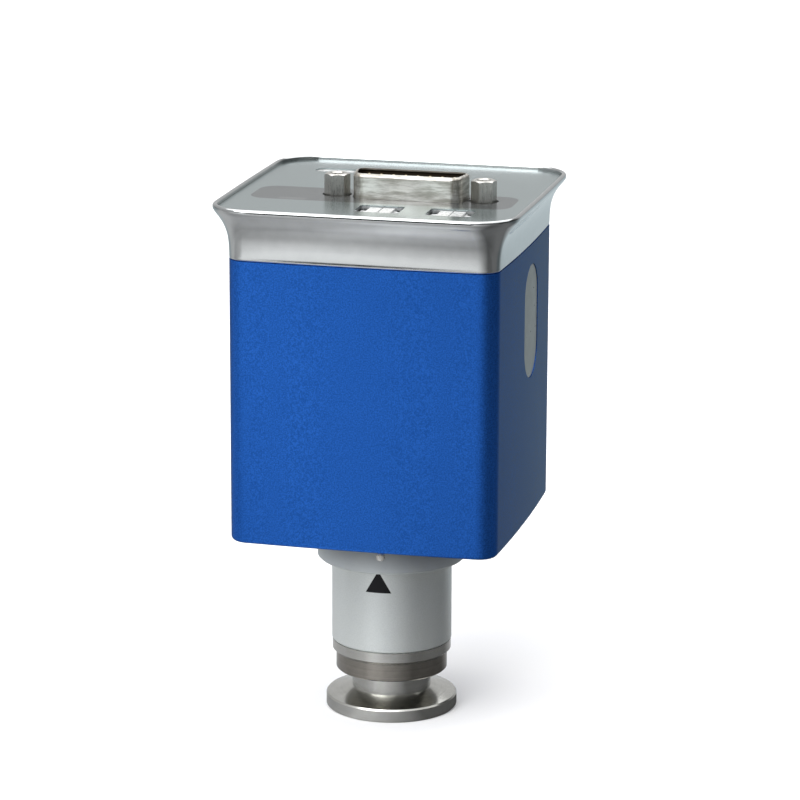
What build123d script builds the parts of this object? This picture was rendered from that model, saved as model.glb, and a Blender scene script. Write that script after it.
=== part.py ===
from build123d import *
from math import cos, radians, sin, sqrt, tan
import os

# Hot cathode ionization gauge, millimetres, +Z up.
# The origin is the centre of the vacuum flange's sealing face, the front is -Y.
# From the bottom up: the sensor head with its small clamp flange, the collar that
# holds it, the square housing with the circuit boards, and the flared bezel with
# the panel that carries the 15-pin connector.

# Vacuum flange and sensor body
flange_r = 15.0
flange_rim_h = 3.0
flange_slope = 15.0
recess_r = 8.6
recess_depth = 2.6
port_r = 8.0
neck_r = 9.05
neck_top = 9.0
lower_ring_step = 0.53
lower_ring_h = 4.0
upper_ring_inset = 0.13
upper_ring_h = 3.0
upper_ring_edge = 0.85
tube_r = 12.2
tube_wall = 1.0
chamber_floor = 1.5
sensor_edge = 0.3

# Sleeve and collar
sleeve_gap = 0.73
sleeve_wall = 0.8
sleeve_bare_h = 19.7
sleeve_edge = 0.4
collar_wall = 3.17
collar_h = 9.04
collar_seat_h = 2.7
collar_seat_lip = 0.4
collar_edge = 0.4
slide_clearance = 0.1

# Housing
body_w = 60.36
body_bow = 0.75
body_corner = 4.3
body_h = 64.0
body_wall = 1.5
floor_t = 2.0
body_edge = 1.0

# Bezel with its flare
bezel_h = 12.25
bezel_foot_inset = 0.25
flare_start = 2.6
flare_end = 11.3
flare_arc_r = 8.0
flare_slope = 28.0
flare_step_count = 6
rim_w = 68.24
rim_bow = 0.3
rim_corner = 9.5
rim_width = 1.1
rim_drop = 0.9
rim_round = 0.45
skirt_h = 3.0
skirt_t = 1.3
skirt_clearance = 0.15
boss_margin = 3.0

# Panel and its overlay
plate_t = 0.8
overlay_t = 0.25
panel_clearance = 0.1

# Connector, 15 pins in two rows
dsub_from_side = 24.68
dsub_y = -6.5
dsub_pin_margin_x = 3.805
dsub_pin_margin_y = 2.78
dsub_shell_corner = 2.6
dsub_slant = 10.0
dsub_wall = 0.42
dsub_rim_r = 0.8
dsub_rim_in = 0.85
dsub_height = 5.55
dsub_flange_end = 2.95
dsub_flange_d = 12.5
dsub_flange_t = 0.8
dsub_flange_corner = 1.5
dsub_rear_depth = 6.0
dsub_face_h = 1.0
pin_r = 0.5
pin_pitch = 2.77
pin_row_gap = 2.84
back_pin_count = 8
front_pin_count = 7
pin_below_rim = 0.8
pin_tip = 0.3
pin_clearance = 0.02
pin_tail = 1.5
dsub_board_gap = 1.0
dsub_middle_t = 1.2
dsub_rear_bare = 1.5
screw_from_shell = 3.15
jack_flats = 5.0
jack_height = 4.8
jack_thread_r = 1.42
jack_hole_r = 1.35
jack_hole_depth = 4.0
jack_tail = 5.0
jack_nut_t = 1.8
jack_mouth = 0.3
jack_hole_clearance = 0.13
jack_opening_r = 3.3
cutout_clearance = 0.2
thread_clearance = 0.05

# Indicator windows in the panel
window_w = 10.0
window_d = 7.4
window_corner = 1.0
window_from_board_end = 5.78
right_window_from_side = 8.83
window_spacing = 15.85
rear_window_w = 10.0
rear_window_d = 4.0
rear_window_from_side = 8.38
indicator_stem_w = 6.4
indicator_stem_d = 6.6
indicator_head_d = 5.4
indicator_head_h = 2.4
indicator_head_drop = 0.9
indicator_gap = 0.4
indicator_top_w = 5.6
indicator_drop = 0.35
indicator_groove = 0.3
guide_clearance = 0.1
guide_lip = 0.7
guide_lip_t = 1.2
guide_drop = 0.35
guide_stem_r = 1.2
led_w = 2.0
led_h = 1.2
led_gap = 0.15

# Side window for the status light
side_window_w = 14.6
side_window_h = 26.0
side_window_y = 4.5
side_window_drop = 17.54
side_window_recess = 0.15
side_window_lip = 1.4
side_window_lip_t = 1.0
side_led_gap = 3.0
side_led_pitch = 8.0

# Circuit boards and their standoffs
board_t = 1.6
board_inset = 1.9
board_corner = 2.0
board_hole_clearance = 0.15
standoff_inset = 3.0
standoff_flats = 5.0
stud_r = 1.45
stud_length = 4.5
stud_hole_extra = 0.8
stud_nut_t = 2.2
lower_standoff_h = 7.26
control_below_window = 11.2
floor_screw_head_r = 2.8
floor_screw_angle = 90
floor_screw_length = 5.0
hex_sides = 6
drive_r = 0.9
drive_depth = 0.7

# Parts on the boards
core_w = 20.0
core_h = 14.0
core_leg = 4.0
core_rail = 2.5
winding_t = 3.0
winding_clearance = 0.2
transformer_x = -10.5
transformer_y = 12.0
capacitor_r = 4.0
capacitor_h = 14.0
capacitor_pitch = 9.5
capacitor_x = 12.0
capacitor_y = 12.0
chip_w = 9.0
chip_h = 1.2
link_pin_count = 8
link_pitch = 2.54
link_pin_w = 0.64
link_base_h = 2.5
link_top_h = 8.5
link_inset = 6.8

# Sensor electrodes and their feedthroughs
header_t = 3.0
header_drop = 2.0
lead_r = 0.5
lead_inside = 3.0
lead_outside = 5.0
bead_r = 1.4
grid_r = 4.5
grid_wire_r = 0.2
grid_turn_count = 7
grid_pitch = 2.2
grid_post_end = 1.0
grid_post_angle = 90
filament_lead_r = 7.6
filament_spread = 24.0
filament_wire_r = 0.2
filament_length = 17.0
filament_leg = 5.7
filament_bend = 1.0
collector_r = 0.3
collector_length = 20.0
screen_t = 0.5
screen_hole_r = 1.2
screen_ring_r = 3.2
screen_hole_count = 6
screen_clearance = 0.1

# Socket between the sensor and the lowest board
socket_bore_gap = 0.2
socket_lift = 1.0
socket_flange_t = 1.5
contact_r = 0.95
contact_tail_r = 0.4
contact_tail_bare = 1.0
contact_collar_r = 1.35
contact_collar_h = 0.8
collar_screw_count = 4
collar_screw_angle = 45
collar_screw_r = 1.0
collar_screw_depth = 5.0
collar_screw_head_r = 1.9
collar_screw_head_h = 1.3
lock_screw_r = 0.9
lock_screw_dome = 0.3
lock_screw_h = 4.2
lock_screw_angle = 5.0

# Levels, from the sealing face up
z_upper_ring = neck_top + lower_ring_h
z_sleeve = z_upper_ring + upper_ring_h
z_collar = z_sleeve + sleeve_bare_h
z_body = z_collar + collar_h
z_seat = z_body - collar_seat_h
z_floor = z_body + floor_t
z_bezel = z_body + body_h
z_rim = z_bezel + bezel_h
z_panel = z_rim - rim_drop
z_plate_top = z_panel - overlay_t
z_plate = z_plate_top - plate_t
z_power = z_floor + lower_standoff_h
side_window_z = z_bezel - side_window_drop
z_control = side_window_z - control_below_window
middle_standoff_h = z_control - z_power - board_t
z_header_top = z_seat - header_drop
z_header = z_header_top - header_t
z_chamber = neck_top + chamber_floor
z_socket = z_header_top + socket_lift
z_socket_flange = z_floor + socket_flange_t
z_dsub_top = z_panel + dsub_height
z_dsub_face = z_plate + dsub_face_h
z_dsub_back = z_plate - dsub_flange_t
z_dsub_rear = z_plate - dsub_rear_depth
z_jack_top = z_panel + jack_height

# Sizes that follow
body_inner_w = body_w - 2 * body_wall
skirt_w = body_inner_w - 2 * skirt_clearance
cavity_w = skirt_w - 2 * skirt_t
cavity_corner = body_corner - body_wall
pocket_w = rim_w - 2 * rim_width
pocket_corner = rim_corner - rim_width
panel_w = pocket_w - 2 * panel_clearance
panel_corner = pocket_corner - panel_clearance
board_w = body_inner_w - 2 * board_inset
standoff_reach = board_w / 2 - standoff_inset
chamber_r = tube_r - tube_wall
sleeve_bore = tube_r + sleeve_gap
sleeve_r = sleeve_bore + sleeve_wall
lower_ring_r = tube_r + lower_ring_step
upper_ring_r = sleeve_r - upper_ring_inset
collar_bore = sleeve_r + slide_clearance
collar_r = collar_bore + collar_wall
socket_hole_r = sleeve_bore - collar_seat_lip
socket_r = socket_hole_r - socket_bore_gap
socket_flange_r = collar_r
collar_screw_circle = (collar_bore + collar_r) / 2
grid_post_r = grid_r + grid_wire_r + lead_r / 2
z_io = z_dsub_rear - dsub_board_gap - board_t
upper_standoff_h = z_io - z_control - board_t
dsub_x = body_w / 2 - dsub_from_side
dsub_shell_w = (back_pin_count - 1) * pin_pitch + 2 * dsub_pin_margin_x
dsub_shell_d = pin_row_gap + 2 * dsub_pin_margin_y
screw_spacing = dsub_shell_w + 2 * screw_from_shell
dsub_flange_w = screw_spacing + 2 * dsub_flange_end
jack_points = [(dsub_x - screw_spacing / 2, dsub_y), (dsub_x + screw_spacing / 2, dsub_y)]
boss_w = cavity_w / 2 + skirt_t - standoff_reach + boss_margin
boss_shift = boss_w / 2 - boss_margin
thread_hole_r = stud_r + thread_clearance
window_y = window_from_board_end - board_w / 2
right_window_x = board_w / 2 - right_window_from_side
left_window_x = right_window_x - window_spacing
rear_window_x = rear_window_from_side - board_w / 2
rear_window_y = board_w / 2 - window_from_board_end
link_reach = board_w / 2 - link_inset
boss_points = [(-standoff_reach, -standoff_reach), (standoff_reach, standoff_reach)]
nut_points = [(standoff_reach, -standoff_reach), (-standoff_reach, standoff_reach)]

os.makedirs("parts", exist_ok=True)


def save(part, name):
    """Label one finished piece and write it under its own name."""
    part.label = name
    export_step(part, "parts/" + name + ".step")


def bowed_square(width, bow, corner):
    """A square whose sides bow outwards, with rounded corners."""
    half = width / 2
    with BuildSketch(Plane.XY, mode=Mode.PRIVATE) as outline:
        with BuildLine():
            ThreePointArc((-half, -half), (0, -half - bow), (half, -half))
            ThreePointArc((half, -half), (half + bow, 0), (half, half))
            ThreePointArc((half, half), (0, half + bow), (-half, half))
            ThreePointArc((-half, half), (-half - bow, 0), (-half, -half))
        make_face()
        fillet(outline.vertices(), corner)
    return outline.sketch


def d_shape(grow):
    """The connector's outline, wide side to the back, grown all round."""
    back = dsub_shell_w / 2
    front = back - dsub_shell_d * tan(radians(dsub_slant))
    half_d = dsub_shell_d / 2
    with BuildSketch(Plane.XY, mode=Mode.PRIVATE) as outline:
        with Locations((dsub_x, dsub_y)):
            Polygon((-back, half_d), (-front, -half_d), (front, -half_d), (back, half_d), align=None)
        fillet(outline.vertices(), dsub_shell_corner)
        if grow:
            offset(amount=grow)
    return outline.sketch


def standoff_grid():
    """The four corners where the standoffs stand."""
    return GridLocations(2 * standoff_reach, 2 * standoff_reach, 2, 2)


def connector_pins():
    """The places of the connector's pins, the longer row at the back."""
    places = []
    for count, side in ((back_pin_count, 1), (front_pin_count, -1)):
        for index in range(count):
            x = dsub_x + (index - (count - 1) / 2) * pin_pitch
            places.append((x, dsub_y + side * pin_row_gap / 2))
    return places


def polar(radius, angle):
    """The point at a radius and an angle in degrees, counted from +X."""
    return (radius * cos(radians(angle)), radius * sin(radians(angle)))


def flare_out(height):
    """How far the flare stands out: an arc that starts upright, then a straight slope."""
    arc_h = flare_arc_r * sin(radians(flare_slope))
    if height <= arc_h:
        return flare_arc_r - sqrt(flare_arc_r**2 - height**2)
    arc_out = flare_arc_r * (1 - cos(radians(flare_slope)))
    return arc_out + (height - arc_h) * tan(radians(flare_slope))


# Sensor body: flange, neck, two rings and the thin tube, turned as one piece
slope_h = (flange_r - neck_r) * tan(radians(flange_slope))
with BuildPart() as sensor_body:
    with BuildSketch(Plane.XZ):
        with BuildLine():
            Polyline(
                (recess_r, 0),
                (flange_r, 0),
                (flange_r, flange_rim_h),
                (neck_r, flange_rim_h + slope_h),
                (neck_r, neck_top),
                (lower_ring_r - sensor_edge, neck_top),
                (lower_ring_r, neck_top + sensor_edge),
                (lower_ring_r, z_upper_ring),
                (upper_ring_r - upper_ring_edge, z_upper_ring),
                (upper_ring_r, z_upper_ring + upper_ring_edge),
                (upper_ring_r, z_sleeve),
                (tube_r, z_sleeve),
                (tube_r, z_header_top),
                (chamber_r, z_header_top),
                (chamber_r, z_chamber),
                (port_r, z_chamber),
                (port_r, recess_depth),
                (recess_r, recess_depth),
                close=True,
            )
        make_face()
    revolve(axis=Axis.Z)
    rim_edges = sensor_body.edges().filter_by(GeomType.CIRCLE)
    rim_edges = rim_edges.filter_by(lambda e: abs(e.radius - flange_r) < 0.01)
    chamfer(rim_edges, sensor_edge)
save(sensor_body.part, "sensor_body")

# Screen that keeps debris out of the chamber
with BuildPart() as port_screen:
    with BuildSketch(Plane.XY.offset(z_chamber)):
        Circle(chamber_r - screen_clearance)
        Circle(screen_hole_r, mode=Mode.SUBTRACT)
        with PolarLocations(screen_ring_r, screen_hole_count):
            Circle(screen_hole_r, mode=Mode.SUBTRACT)
        with PolarLocations(2 * screen_ring_r, 2 * screen_hole_count):
            Circle(screen_hole_r, mode=Mode.SUBTRACT)
    extrude(amount=screen_t)
save(port_screen.part, "port_screen")

# Leads: two for the grid, two for each filament, one for the collector
grid_leads = [polar(grid_post_r, angle) for angle in (grid_post_angle, -grid_post_angle)]
filament_a_leads = [polar(filament_lead_r, angle) for angle in (-filament_spread, filament_spread)]
filament_b_leads = [(-x, y) for x, y in filament_a_leads]
lead_points = [(0, 0)] + grid_leads + filament_a_leads + filament_b_leads
z_lead_end = z_header - lead_inside
z_lead_top = z_header_top + lead_outside

# Header that closes the tube, with its glass beads and leads
with BuildPart() as feedthrough_header:
    with BuildSketch(Plane.XY.offset(z_header)):
        Circle(chamber_r - pin_clearance)
        with Locations(*lead_points):
            Circle(bead_r, mode=Mode.SUBTRACT)
    extrude(amount=header_t)
save(feedthrough_header.part, "feedthrough_header")

with BuildPart() as glass_beads:
    with BuildSketch(Plane.XY.offset(z_header)):
        with Locations(*lead_points):
            Circle(bead_r - pin_clearance)
            Circle(lead_r + pin_clearance, mode=Mode.SUBTRACT)
    extrude(amount=header_t)
save(glass_beads.part, "glass_beads")

with BuildPart() as feedthrough_leads:
    with BuildSketch(Plane.XY.offset(z_lead_end)):
        with Locations(*lead_points):
            Circle(lead_r)
    extrude(amount=z_lead_top - z_lead_end)
save(feedthrough_leads.part, "feedthrough_leads")

# Anode grid: a wire helix welded to its two posts
grid_h = grid_turn_count * grid_pitch
z_grid_end = z_lead_end - grid_post_end - grid_h
with BuildPart() as anode_grid:
    with BuildLine(Plane.XY.offset(z_grid_end + grid_wire_r)) as turns:
        Helix(pitch=grid_pitch, height=grid_h, radius=grid_r)
    with BuildSketch(Plane(origin=turns.line @ 0, z_dir=turns.line % 0)):
        RegularPolygon(grid_wire_r, hex_sides)
    sweep(is_frenet=True)
    with BuildSketch(Plane.XY.offset(z_grid_end - grid_post_end)):
        with Locations(*grid_leads):
            Circle(lead_r)
    extrude(amount=z_lead_end - z_grid_end + grid_post_end)
save(anode_grid.part, "anode_grid")

# Ion collector: a fine rod on the axis
with BuildPart() as ion_collector:
    with BuildSketch(Plane.XY.offset(z_lead_end - collector_length)):
        Circle(collector_r)
    extrude(amount=collector_length)
save(ion_collector.part, "ion_collector")


def filament(leads):
    """A hairpin wire that hangs from its two leads beside the grid."""
    (x_1, y_1), (x_2, y_2) = leads
    z_tip = z_lead_end - filament_length
    z_knee = z_lead_end - filament_leg
    middle = (y_1 + y_2) / 2
    with BuildPart() as wire:
        with BuildLine() as path:
            FilletPolyline(
                (x_1, y_1, z_lead_end),
                (x_1, y_1, z_knee),
                (x_1, middle, z_tip),
                (x_2, y_2, z_knee),
                (x_2, y_2, z_lead_end),
                radius=filament_bend,
            )
        with BuildSketch(Plane(origin=path.line @ 0, z_dir=path.line % 0)):
            RegularPolygon(filament_wire_r, hex_sides)
        sweep()
    return wire.part


save(filament(filament_a_leads), "filament_a")
save(filament(filament_b_leads), "filament_b")

# Sleeve over the tube
with BuildPart() as sensor_sleeve:
    with BuildSketch(Plane.XY.offset(z_sleeve)):
        Circle(sleeve_r)
        Circle(sleeve_bore, mode=Mode.SUBTRACT)
    extrude(amount=z_seat - z_sleeve)
    lower_edge = sensor_sleeve.edges().group_by(Axis.Z)[0].sort_by(SortBy.RADIUS)[-1]
    chamfer(lower_edge, sleeve_edge)
save(sensor_sleeve.part, "sensor_sleeve")

# Collar under the housing, with the seat that stops the sleeve
lock_way = (sin(radians(lock_screw_angle)), -cos(radians(lock_screw_angle)), 0)
lock_plane = Plane(origin=(0, 0, z_collar + lock_screw_h), z_dir=lock_way)
with BuildPart() as collar:
    with BuildSketch(Plane.XZ):
        with BuildLine():
            Polyline(
                (collar_bore, z_collar),
                (collar_r, z_collar),
                (collar_r, z_body),
                (socket_hole_r, z_body),
                (socket_hole_r, z_seat),
                (collar_bore, z_seat),
                close=True,
            )
        make_face()
    revolve(axis=Axis.Z)
    outer_edge = collar.edges().group_by(Axis.Z)[0].sort_by(SortBy.RADIUS)[-1]
    chamfer(outer_edge, collar_edge)
    with BuildSketch(lock_plane):
        Circle(lock_screw_r + thread_clearance)
    extrude(amount=collar_r + collar_wall, mode=Mode.SUBTRACT)
    with BuildSketch(Plane.XY.offset(z_body)):
        with PolarLocations(collar_screw_circle, collar_screw_count, start_angle=collar_screw_angle):
            Circle(collar_screw_r + thread_clearance)
    extrude(amount=-collar_screw_depth - thread_clearance, mode=Mode.SUBTRACT)
save(collar.part, "collar")

# Locking screw in the collar's front, with a domed end
with BuildPart() as locking_screw:
    with BuildSketch(lock_plane.offset(sleeve_r + thread_clearance)):
        Circle(lock_screw_r)
    extrude(amount=collar_r + lock_screw_dome - sleeve_r - thread_clearance)
    chamfer(locking_screw.edges().group_by(Axis.Y)[0], lock_screw_dome)
save(locking_screw.part, "locking_screw")

# Housing: one deep cup with bowed sides
with BuildPart() as housing:
    with BuildSketch(Plane.XY.offset(z_body)):
        add(bowed_square(body_w, body_bow, body_corner))
    extrude(amount=body_h)
    fillet(housing.faces().sort_by(Axis.Z)[0].edges(), body_edge)
    with BuildSketch(Plane.XY.offset(z_floor)):
        add(bowed_square(body_inner_w, body_bow, body_corner - body_wall))
    extrude(amount=body_h, mode=Mode.SUBTRACT)
    with BuildSketch(Plane.XY.offset(z_body)):
        Circle(socket_hole_r)
        with PolarLocations(collar_screw_circle, collar_screw_count, start_angle=collar_screw_angle):
            Circle(collar_screw_r + thread_clearance)
    extrude(amount=floor_t, mode=Mode.SUBTRACT)
    with Locations(Plane(origin=(0, 0, z_body), z_dir=(0, 0, -1))):
        with standoff_grid():
            CounterSinkHole(
                stud_r + thread_clearance,
                floor_screw_head_r + thread_clearance,
                depth=floor_t,
                counter_sink_angle=floor_screw_angle,
            )
    with BuildSketch(Plane.YZ):
        with Locations((side_window_y, side_window_z)):
            SlotOverall(side_window_h, side_window_w, rotation=90)
    extrude(amount=body_w, mode=Mode.SUBTRACT)
save(housing.part, "housing")


# Flared bezel: foot, flare lofted through bowed sections, and the rim
with BuildPart() as top_bezel:
    with BuildSketch(Plane.XY.offset(z_bezel)):
        add(bowed_square(body_w, body_bow, body_corner))
    extrude(amount=flare_start)
    fillet(top_bezel.faces().sort_by(Axis.Z)[0].edges(), bezel_foot_inset)
    for step in range(flare_step_count + 1):
        height = (flare_end - flare_start) * step / flare_step_count
        share = flare_out(height) / flare_out(flare_end - flare_start)
        with BuildSketch(Plane.XY.offset(z_bezel + flare_start + height)):
            add(
                bowed_square(
                    body_w + share * (rim_w - body_w),
                    body_bow + share * (rim_bow - body_bow),
                    body_corner + share * (rim_corner - body_corner),
                )
            )
    loft()
    with BuildSketch(Plane.XY.offset(z_bezel + flare_end)):
        add(bowed_square(rim_w, rim_bow, rim_corner))
    extrude(amount=bezel_h - flare_end)
    fillet(top_bezel.faces().sort_by(Axis.Z)[-1].edges(), rim_round)
    with BuildSketch(Plane.XY.offset(z_bezel - skirt_h)):
        add(bowed_square(skirt_w, body_bow, cavity_corner))
    extrude(amount=skirt_h)
    with BuildSketch(Plane.XY.offset(z_bezel - skirt_h)):
        add(bowed_square(cavity_w, body_bow, cavity_corner))
    extrude(amount=skirt_h + bezel_h, mode=Mode.SUBTRACT)
    with BuildSketch(Plane.XY.offset(z_io + board_t)):
        for x, y in boss_points:
            with Locations((x + boss_shift * x / abs(x), y + boss_shift * y / abs(y))):
                Rectangle(boss_w, boss_w)
    extrude(amount=z_plate - z_io - board_t)
    with BuildSketch(Plane.XY.offset(z_plate)):
        add(bowed_square(pocket_w, rim_bow, pocket_corner))
    extrude(amount=z_rim - z_plate, mode=Mode.SUBTRACT)
    with BuildSketch(Plane.XY.offset(z_io + board_t)):
        with Locations(*boss_points):
            Circle(thread_hole_r)
    extrude(amount=stud_length - board_t + stud_hole_extra, mode=Mode.SUBTRACT)
save(top_bezel.part, "top_bezel")


def panel_openings():
    """Everything that is cut through the panel and its overlay."""
    with BuildSketch(Plane.XY, mode=Mode.PRIVATE) as openings:
        add(d_shape(cutout_clearance))
        with Locations(*jack_points):
            Circle(jack_opening_r)
        with Locations((left_window_x, window_y), (right_window_x, window_y)):
            RectangleRounded(window_w, window_d, window_corner)
        with Locations((rear_window_x, rear_window_y)):
            SlotOverall(rear_window_w, rear_window_d)
    return openings.sketch


# Panel plate on the bezel's ledge, and the overlay on it
with BuildPart() as panel_plate:
    with BuildSketch(Plane.XY.offset(z_plate)):
        add(bowed_square(panel_w, rim_bow, panel_corner))
        add(panel_openings(), mode=Mode.SUBTRACT)
    extrude(amount=plate_t)
save(panel_plate.part, "panel_plate")

with BuildPart() as panel_overlay:
    with BuildSketch(Plane.XY.offset(z_plate_top)):
        add(bowed_square(panel_w, rim_bow, panel_corner))
        add(panel_openings(), mode=Mode.SUBTRACT)
    extrude(amount=overlay_t)
save(panel_overlay.part, "panel_overlay")


def dsub_flange(hole_r):
    """The flange that both shells and the insulator share."""
    with BuildSketch(Plane.XY, mode=Mode.PRIVATE) as flange:
        with Locations((dsub_x, dsub_y)):
            RectangleRounded(dsub_flange_w, dsub_flange_d, dsub_flange_corner)
        with Locations(*jack_points):
            Circle(hole_r, mode=Mode.SUBTRACT)
    return flange.sketch


z_dsub_middle = z_dsub_back - dsub_middle_t
z_dsub_low = z_dsub_middle - dsub_flange_t
jack_clear_r = jack_thread_r + jack_hole_clearance

# Front shell of the connector, drawn from sheet, its rim rounded and turned inwards
with BuildPart() as dsub_front_shell:
    with BuildSketch(Plane.XY.offset(z_dsub_back)):
        add(dsub_flange(jack_clear_r))
    extrude(amount=dsub_flange_t)
    with BuildSketch(Plane.XY.offset(z_dsub_back)):
        add(d_shape(0))
    extrude(amount=z_dsub_top - z_dsub_back)
    fillet(dsub_front_shell.faces().sort_by(Axis.Z)[-1].edges(), dsub_rim_r)
    with BuildPart(mode=Mode.SUBTRACT) as hollow:
        with BuildSketch(Plane.XY.offset(z_dsub_back)):
            add(d_shape(-dsub_wall))
        extrude(amount=z_dsub_top - dsub_wall - z_dsub_back)
        fillet(hollow.faces().sort_by(Axis.Z)[-1].edges(), dsub_rim_r - dsub_wall)
    with BuildSketch(Plane.XY.offset(z_dsub_top)):
        add(d_shape(-dsub_rim_in))
    extrude(amount=-dsub_rim_r, mode=Mode.SUBTRACT)
save(dsub_front_shell.part, "dsub_front_shell")

# Insulator: a block through both shells, with a flange held between theirs
with BuildPart() as dsub_insulator:
    with BuildSketch(Plane.XY.offset(z_dsub_rear)):
        add(d_shape(-dsub_wall - pin_clearance))
    extrude(amount=z_dsub_face - z_dsub_rear)
    with BuildSketch(Plane.XY.offset(z_dsub_middle)):
        add(dsub_flange(jack_clear_r))
    extrude(amount=dsub_middle_t)
    with BuildSketch(Plane.XY.offset(z_dsub_rear)):
        with Locations(*connector_pins()):
            Circle(pin_r + pin_clearance)
    extrude(amount=z_dsub_face - z_dsub_rear, mode=Mode.SUBTRACT)
save(dsub_insulator.part, "dsub_insulator")

# Rear shell, a shallow cup behind the insulator's flange
with BuildPart() as dsub_rear_shell:
    with BuildSketch(Plane.XY.offset(z_dsub_low)):
        add(dsub_flange(jack_clear_r))
    extrude(amount=dsub_flange_t)
    with BuildSketch(Plane.XY.offset(z_dsub_rear + dsub_rear_bare)):
        add(d_shape(0))
    extrude(amount=z_dsub_middle - z_dsub_rear - dsub_rear_bare)
    with BuildSketch(Plane.XY.offset(z_dsub_rear)):
        add(d_shape(-dsub_wall))
    extrude(amount=z_dsub_middle - z_dsub_rear, mode=Mode.SUBTRACT)
save(dsub_rear_shell.part, "dsub_rear_shell")

# Pins, from below the board to just under the shell's lip
with BuildPart() as dsub_pins:
    with BuildSketch(Plane.XY.offset(z_io - pin_tail)):
        with Locations(*connector_pins()):
            Circle(pin_r)
    extrude(amount=z_dsub_top - pin_below_rim - z_io + pin_tail)
    chamfer(dsub_pins.edges().group_by(Axis.Z)[-1], pin_tip)
save(dsub_pins.part, "dsub_pins")

# Jackscrews: a hexagon on the connector's flange, tapped on top, with a threaded tail
for (x, y), name in zip(jack_points, ("jackscrew_left", "jackscrew_right")):
    with BuildPart() as jackscrew:
        with BuildSketch(Plane((x, y, z_plate))):
            RegularPolygon(jack_flats / 2, hex_sides, major_radius=False)
        extrude(amount=z_jack_top - z_plate)
        with BuildSketch(Plane((x, y, z_plate))):
            Circle(jack_thread_r)
        extrude(amount=-jack_tail)
        with BuildSketch(Plane((x, y, z_jack_top))):
            Circle(jack_hole_r)
        extrude(amount=-jack_hole_depth, mode=Mode.SUBTRACT)
        hole_edge = jackscrew.edges().filter_by(GeomType.CIRCLE).group_by(Axis.Z)[-1]
        chamfer(hole_edge, jack_mouth)
    save(jackscrew.part, name)

# Nuts on the jackscrews, behind the rear shell
with BuildPart() as jack_nuts:
    with BuildSketch(Plane.XY.offset(z_dsub_low)):
        with Locations(*jack_points):
            RegularPolygon(jack_flats / 2, hex_sides, major_radius=False)
            Circle(jack_clear_r, mode=Mode.SUBTRACT)
    extrude(amount=-jack_nut_t)
save(jack_nuts.part, "jack_nuts")

# Indicator blocks on the board: a stem, a wide head and a raised middle
z_io_top = z_io + board_t
indicator_head_w = window_w - 2 * indicator_gap
indicator_head_y = window_y - window_d / 2 + indicator_gap + indicator_head_d / 2
for x, name in ((left_window_x, "indicator_left"), (right_window_x, "indicator_right")):
    with BuildPart() as indicator:
        with BuildSketch(Plane((x, window_y, z_io_top))):
            Rectangle(indicator_stem_w, indicator_stem_d)
        extrude(amount=z_panel - indicator_head_drop - z_io_top)
        with BuildSketch(Plane((x, indicator_head_y, z_panel - indicator_head_drop))):
            Rectangle(indicator_head_w, indicator_head_d)
        extrude(amount=-indicator_head_h)
        with BuildSketch(Plane((x, window_y, z_io_top))):
            Rectangle(indicator_top_w, indicator_stem_d)
        extrude(amount=z_panel - indicator_drop - z_io_top)
        with BuildSketch(Plane((x, window_y, z_panel))):
            Rectangle(indicator_groove, window_d)
        extrude(amount=-indicator_drop - indicator_groove, mode=Mode.SUBTRACT)
    save(indicator.part, name)

# Light guide in the rear window, clipped under the plate, with its lamp below
z_led_top = z_io_top + led_h
with BuildPart() as rear_guide:
    with BuildSketch(Plane((rear_window_x, rear_window_y, z_led_top + led_gap))):
        Circle(guide_stem_r)
    extrude(amount=z_plate - z_led_top - led_gap)
    with BuildSketch(Plane((rear_window_x, rear_window_y, z_plate - guide_lip_t))):
        SlotOverall(rear_window_w - 2 * guide_clearance, rear_window_d - 2 * guide_clearance)
    extrude(amount=z_panel - guide_drop - z_plate + guide_lip_t)
    with BuildSketch(Plane((rear_window_x, rear_window_y, z_plate))):
        SlotOverall(rear_window_w + 2 * guide_lip, rear_window_d + 2 * guide_lip)
    extrude(amount=-guide_lip_t)
save(rear_guide.part, "rear_guide")

with BuildPart() as rear_led:
    with BuildSketch(Plane((rear_window_x, rear_window_y, z_io_top))):
        Rectangle(led_w, led_w)
    extrude(amount=led_h)
save(rear_led.part, "rear_led")

# Window in the right wall: its lip lies against the wall, its face follows the bow
with BuildPart() as status_window:
    lip_plane = Plane.YZ.offset(body_inner_w / 2 - side_window_lip_t)
    with BuildSketch(lip_plane):
        with Locations((side_window_y, side_window_z)):
            SlotOverall(
                side_window_h + 2 * side_window_lip, side_window_w + 2 * side_window_lip, rotation=90
            )
    extrude(amount=side_window_lip_t + body_wall)
    with BuildSketch(Plane.XY.offset(z_floor)):
        add(bowed_square(body_inner_w, body_bow, body_corner - body_wall))
    extrude(amount=body_h, mode=Mode.INTERSECT)
    with BuildSketch(lip_plane):
        with Locations((side_window_y, side_window_z)):
            SlotOverall(
                side_window_h - 2 * guide_clearance, side_window_w - 2 * guide_clearance, rotation=90
            )
    extrude(amount=side_window_lip_t + 2 * body_wall)
    with BuildSketch(Plane.XY.offset(z_floor)):
        add(bowed_square(body_w - 2 * side_window_recess, body_bow, body_corner))
    extrude(amount=body_h, mode=Mode.INTERSECT)
save(status_window.part, "status_window")

# Small upright board with the status lamps, on the control board
x_status_front = body_inner_w / 2 - side_window_lip_t - side_led_gap - led_h
z_control_top = z_control + board_t
with BuildPart() as status_board:
    with BuildSketch(Plane.XY.offset(z_control_top)):
        with Locations((x_status_front - board_t / 2, side_window_y)):
            Rectangle(board_t, side_window_w)
    extrude(amount=side_window_z + side_led_pitch - z_control_top)
save(status_board.part, "status_board")

with BuildPart() as status_leds:
    with BuildSketch(Plane.YZ.offset(x_status_front)):
        with Locations((side_window_y, side_window_z)):
            with GridLocations(led_w, side_led_pitch, 1, 2):
                Rectangle(led_w, led_w)
    extrude(amount=led_h)
save(status_leds.part, "status_leds")


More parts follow.
